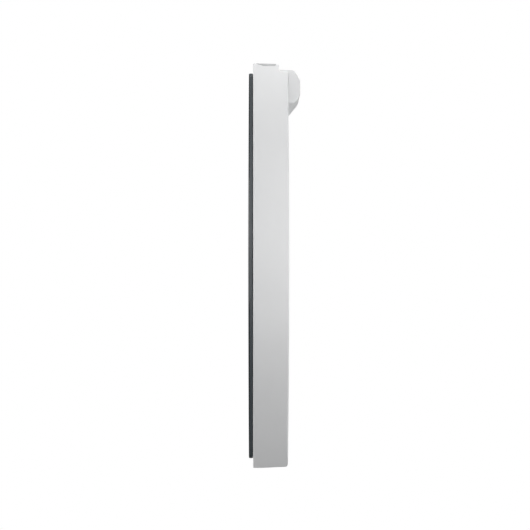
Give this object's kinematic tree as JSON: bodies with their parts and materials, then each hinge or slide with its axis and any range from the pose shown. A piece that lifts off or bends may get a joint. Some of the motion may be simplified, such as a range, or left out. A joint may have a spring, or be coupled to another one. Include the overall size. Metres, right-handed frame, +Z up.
{
  "type": "wall battery unit",
  "caption": "Tall thin wall-hung home battery unit: white housing, dark crowned glass front panel, top air grille, hanger hood at the upper rear, side control pocket, screw-out rear feet.",
  "frame": {"origin": "centre of the bounding box in X and Y, at the lowest point in Z", "axes": "+Z up, the glass front faces -Y, the wall is the plane y = +0.074, +X is the plain side and -X the side with the control pocket"},
  "size_m": [0.75, 0.148, 1.15],
  "materials": {
    "shell_paint": "fine powder coat, light silver white, semi-matt",
    "trim_paint": "fine powder coat, light grey, semi-matt",
    "dark_glass": "polished tempered glass with a black back print",
    "black_plastic": "moulded, fine spark texture",
    "lens": "clear diffusing acrylic",
    "seal_rubber": "black EPDM",
    "zinc_steel": "zinc plated steel",
    "sheet_alloy": "mill finish aluminium sheet",
    "module_case": "anodised cell case",
    "copper": "bare copper",
    "circuit_board": "green solder mask",
    "grey_plastic": "moulded thermoplastic",
    "red_plastic": "moulded, red",
    "cable_orange": "orange cable jacket"
  },
  "bodies": {
    "unit": {"housing": "shell_paint", "front_cover": "sheet_alloy", "cover_gasket": "seal_rubber", "ball_stud_1": "zinc_steel", "ball_stud_2": "zinc_steel", "ball_stud_3": "zinc_steel", "ball_stud_4": "zinc_steel", "top_grille": "trim_paint", "grille_screw_left": "zinc_steel", "grille_screw_right": "zinc_steel", "gland_plate": "zinc_steel", "cable_gland_1": "black_plastic", "cable_gland_2": "black_plastic", "control_plate": "black_plastic", "isolator_body": "grey_plastic", "button_bezel": "zinc_steel", "hanger_hood": "trim_paint", "lock_screw_left": "zinc_steel", "lock_screw_right": "zinc_steel", "hanger_hook": "zinc_steel", "wall_rail": "zinc_steel", "battery_module_1": "module_case", "battery_module_2": "module_case", "battery_module_3": "module_case", "battery_module_4": "module_case", "clamp_rail_lower": "zinc_steel", "clamp_rail_upper": "zinc_steel", "busbar_link_lower": "copper", "busbar_link_upper": "copper", "busbar_link_side": "copper", "bulkhead": "sheet_alloy", "heatsink": "sheet_alloy", "power_board": "circuit_board", "capacitor_1": "black_plastic", "capacitor_2": "black_plastic", "filter_choke": "copper", "comms_board": "circuit_board", "terminal_block": "grey_plastic", "bms_board": "circuit_board", "contactor_body": "black_plastic", "main_fuse": "grey_plastic", "breaker_body": "grey_plastic", "cable_positive": "cable_orange", "cable_negative": "seal_rubber", "fan_frame_left": "black_plastic", "fan_frame_right": "black_plastic"},
    "front_panel": {"glass_carrier": "black_plastic", "front_glass": "dark_glass", "status_lens": "lens", "led_board": "circuit_board"},
    "isolator_dial": {"isolator_knob": "red_plastic"},
    "power_key": {"power_button": "grey_plastic"},
    "breaker_toggle": {"breaker_lever": "black_plastic"},
    "contactor_plunger": {"contactor_core": "grey_plastic"},
    "fan_wheel_left": {"fan_rotor_left": "black_plastic"},
    "fan_wheel_right": {"fan_rotor_right": "black_plastic"},
    "foot_left": {"foot_screw_left": "zinc_steel", "foot_pad_left": "seal_rubber"},
    "foot_right": {"foot_screw_right": "zinc_steel", "foot_pad_right": "seal_rubber"}
  },
  "joints": [
    {"name": "panel_pull", "type": "slide", "parent": "unit", "child": "front_panel", "axis": [0, -1, 0], "range_m": [0, 0.12]},
    {"name": "isolator_turn", "type": "hinge", "parent": "unit", "child": "isolator_dial", "pos_m": [-0.356, -0.005, 1.015], "axis": [-1, 0, 0], "range_deg": [0, 90]},
    {"name": "power_press", "type": "slide", "parent": "unit", "child": "power_key", "axis": [1, 0, 0], "range_m": [0, 0.0025]},
    {"name": "breaker_throw", "type": "hinge", "parent": "unit", "child": "breaker_toggle", "pos_m": [-0.144, -0.034, 1], "axis": [1, 0, 0], "range_deg": [0, 70]},
    {"name": "contactor_pull", "type": "slide", "parent": "unit", "child": "contactor_plunger", "axis": [0, 1, 0], "range_m": [0, 0.003]},
    {"name": "fan_spin_left", "type": "hinge", "parent": "unit", "child": "fan_wheel_left", "pos_m": [0.07, -0.0235, 1.134], "axis": [0, 0, 1], "continuous": true},
    {"name": "fan_spin_right", "type": "hinge", "parent": "unit", "child": "fan_wheel_right", "pos_m": [0.17, -0.0235, 1.134], "axis": [0, 0, 1], "continuous": true},
    {"name": "foot_extend_left", "type": "slide", "parent": "unit", "child": "foot_left", "axis": [0, 1, 0], "range_m": [0, 0.0355]},
    {"name": "foot_extend_right", "type": "slide", "parent": "unit", "child": "foot_right", "axis": [0, 1, 0], "range_m": [0, 0.0355]}
  ]
}
